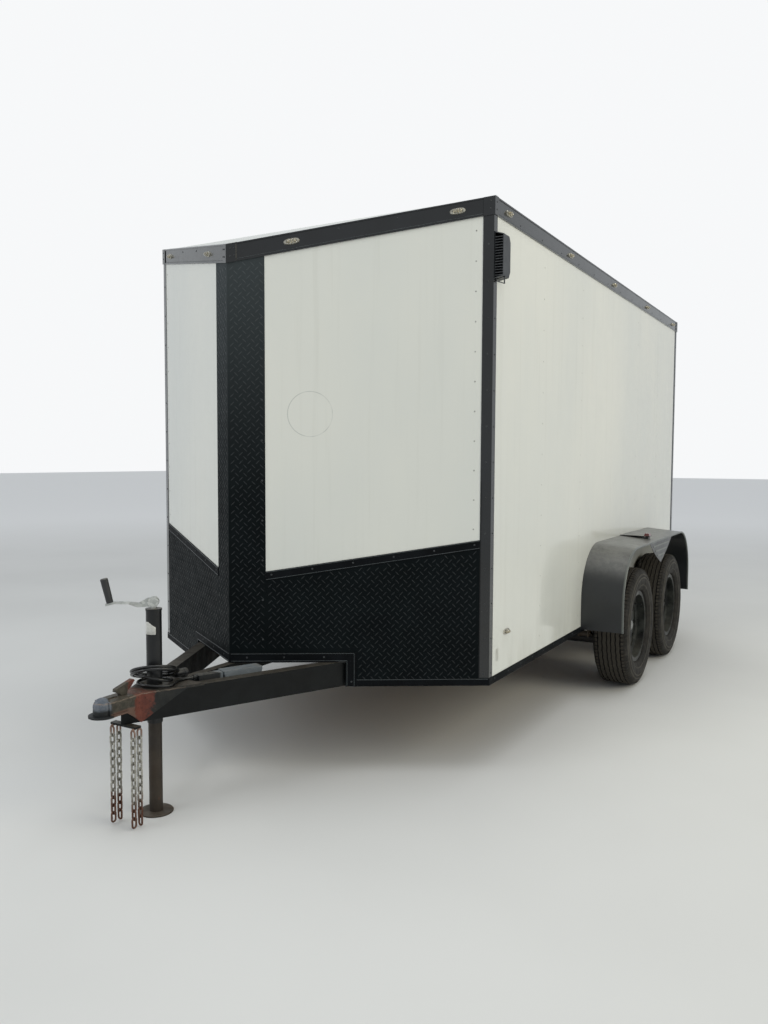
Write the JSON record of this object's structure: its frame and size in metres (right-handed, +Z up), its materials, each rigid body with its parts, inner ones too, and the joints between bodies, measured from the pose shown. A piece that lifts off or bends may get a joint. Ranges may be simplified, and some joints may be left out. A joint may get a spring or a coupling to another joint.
{
  "type": "box trailer",
  "caption": "Enclosed tandem axle box trailer with a V nose, tread plate stone guard, sheet fenders, side door, rear ramp door, A-frame tongue, ball coupler and tongue jack.",
  "frame": {"origin": "on the ground under the middle of the trailer's bounding box", "axes": "+Z up, -Y towards the nose and coupler, +X to the trailer's left side"},
  "size_m": [2.298, 5.0076, 2.395],
  "materials": {
    "white_skin": "gloss",
    "roof_white": "satin",
    "trim_black": "gloss",
    "tread_black": "semi-gloss",
    "frame_black": "satin, dusty",
    "coupler_worn": "worn paint, surface rust",
    "galvanised": "dull",
    "jack_black": "semi-gloss",
    "jack_steel": "dull, browned",
    "grip_black": "matte",
    "chain_zinc": "dull, rusty low down",
    "box_grey": "matte",
    "cord_black": "semi-gloss",
    "plug_black": "matte",
    "floor_wood": "matte",
    "vent_plastic": "satin",
    "lamp_amber": "gloss",
    "lamp_red": "gloss",
    "fender_black": "semi-gloss",
    "tyre": "matte",
    "rim_black": "gloss",
    "hub_silver": "satin",
    "axle_black": "satin",
    "spring_steel": "matte",
    "bracket_steel": "satin",
    "door_edge": "satin",
    "latch_black": "satin"
  },
  "bodies": {
    "trailer": {"side_rails": "frame_black", "cross_members": "frame_black", "tongue_tubes": "frame_black", "nose_frame": "frame_black", "coupler": "coupler_worn", "coupler_latch": "coupler_worn", "jack_tube": "jack_black", "jack_crank": "galvanised", "jack_grip": "grip_black", "chain_left": "chain_zinc", "chain_right": "chain_zinc", "wiring_boxes": "box_grey", "cord_lead": "cord_black", "cord_coil": "cord_black", "cord_plug": "plug_black", "floor": "floor_wood", "left_wall": "white_skin", "right_wall": "white_skin", "nose_left_wall": "white_skin", "nose_right_wall": "white_skin", "roof": "roof_white", "rear_frame": "trim_black", "top_trim": "trim_black", "corner_trims": "trim_black", "nose_strip": "tread_black", "stone_guard": "tread_black", "lower_trim": "trim_black", "side_vents": "vent_plastic", "marker_lamps": "lamp_amber", "tail_lamps": "lamp_red", "fender_left": "fender_black", "fender_right": "fender_black", "axles": "axle_black", "leaf_springs": "spring_steel", "plate_bracket": "bracket_steel", "door_frame": "trim_black", "ramp_hinges_fixed": "galvanised"},
    "side_door": {"door_panel": "white_skin", "door_trim": "door_edge", "door_hardware": "latch_black"},
    "ramp_door": {"ramp_panel": "white_skin", "ramp_trim": "door_edge", "ramp_hardware": "galvanised"},
    "jack_foot": {"jack_leg": "jack_steel"},
    "wheel_front_left": {"tyre_front_left": "tyre", "rim_front_left": "rim_black", "hub_front_left": "hub_silver"},
    "wheel_rear_left": {"tyre_rear_left": "tyre", "rim_rear_left": "rim_black", "hub_rear_left": "hub_silver"},
    "wheel_front_right": {"tyre_front_right": "tyre", "rim_front_right": "rim_black", "hub_front_right": "hub_silver"},
    "wheel_rear_right": {"tyre_rear_right": "tyre", "rim_rear_right": "rim_black", "hub_rear_right": "hub_silver"}
  },
  "joints": [
    {"name": "spin_front_left", "type": "hinge", "parent": "trailer", "child": "wheel_front_left", "pos_m": [1.0325, 0.56725, 0.3445], "axis": [1, 0, 0], "continuous": true},
    {"name": "spin_rear_left", "type": "hinge", "parent": "trailer", "child": "wheel_rear_left", "pos_m": [1.0325, 1.43125, 0.3445], "axis": [1, 0, 0], "continuous": true},
    {"name": "spin_front_right", "type": "hinge", "parent": "trailer", "child": "wheel_front_right", "pos_m": [-1.0325, 0.56725, 0.3445], "axis": [1, 0, 0], "continuous": true},
    {"name": "spin_rear_right", "type": "hinge", "parent": "trailer", "child": "wheel_rear_right", "pos_m": [-1.0325, 1.43125, 0.3445], "axis": [1, 0, 0], "continuous": true},
    {"name": "side_door_hinge", "type": "hinge", "parent": "trailer", "child": "side_door", "pos_m": [-0.9255, -0.87875, 1.36], "axis": [0, 0, 1], "range_deg": [0, 170]},
    {"name": "ramp_door_hinge", "type": "hinge", "parent": "trailer", "child": "ramp_door", "pos_m": [0, 2.46175, 0.478], "axis": [-1, 0, 0], "range_deg": [0, 104]},
    {"name": "jack_slide", "type": "slide", "parent": "trailer", "child": "jack_foot", "axis": [0, 0, 1], "range_m": [0, 0.33]}
  ]
}
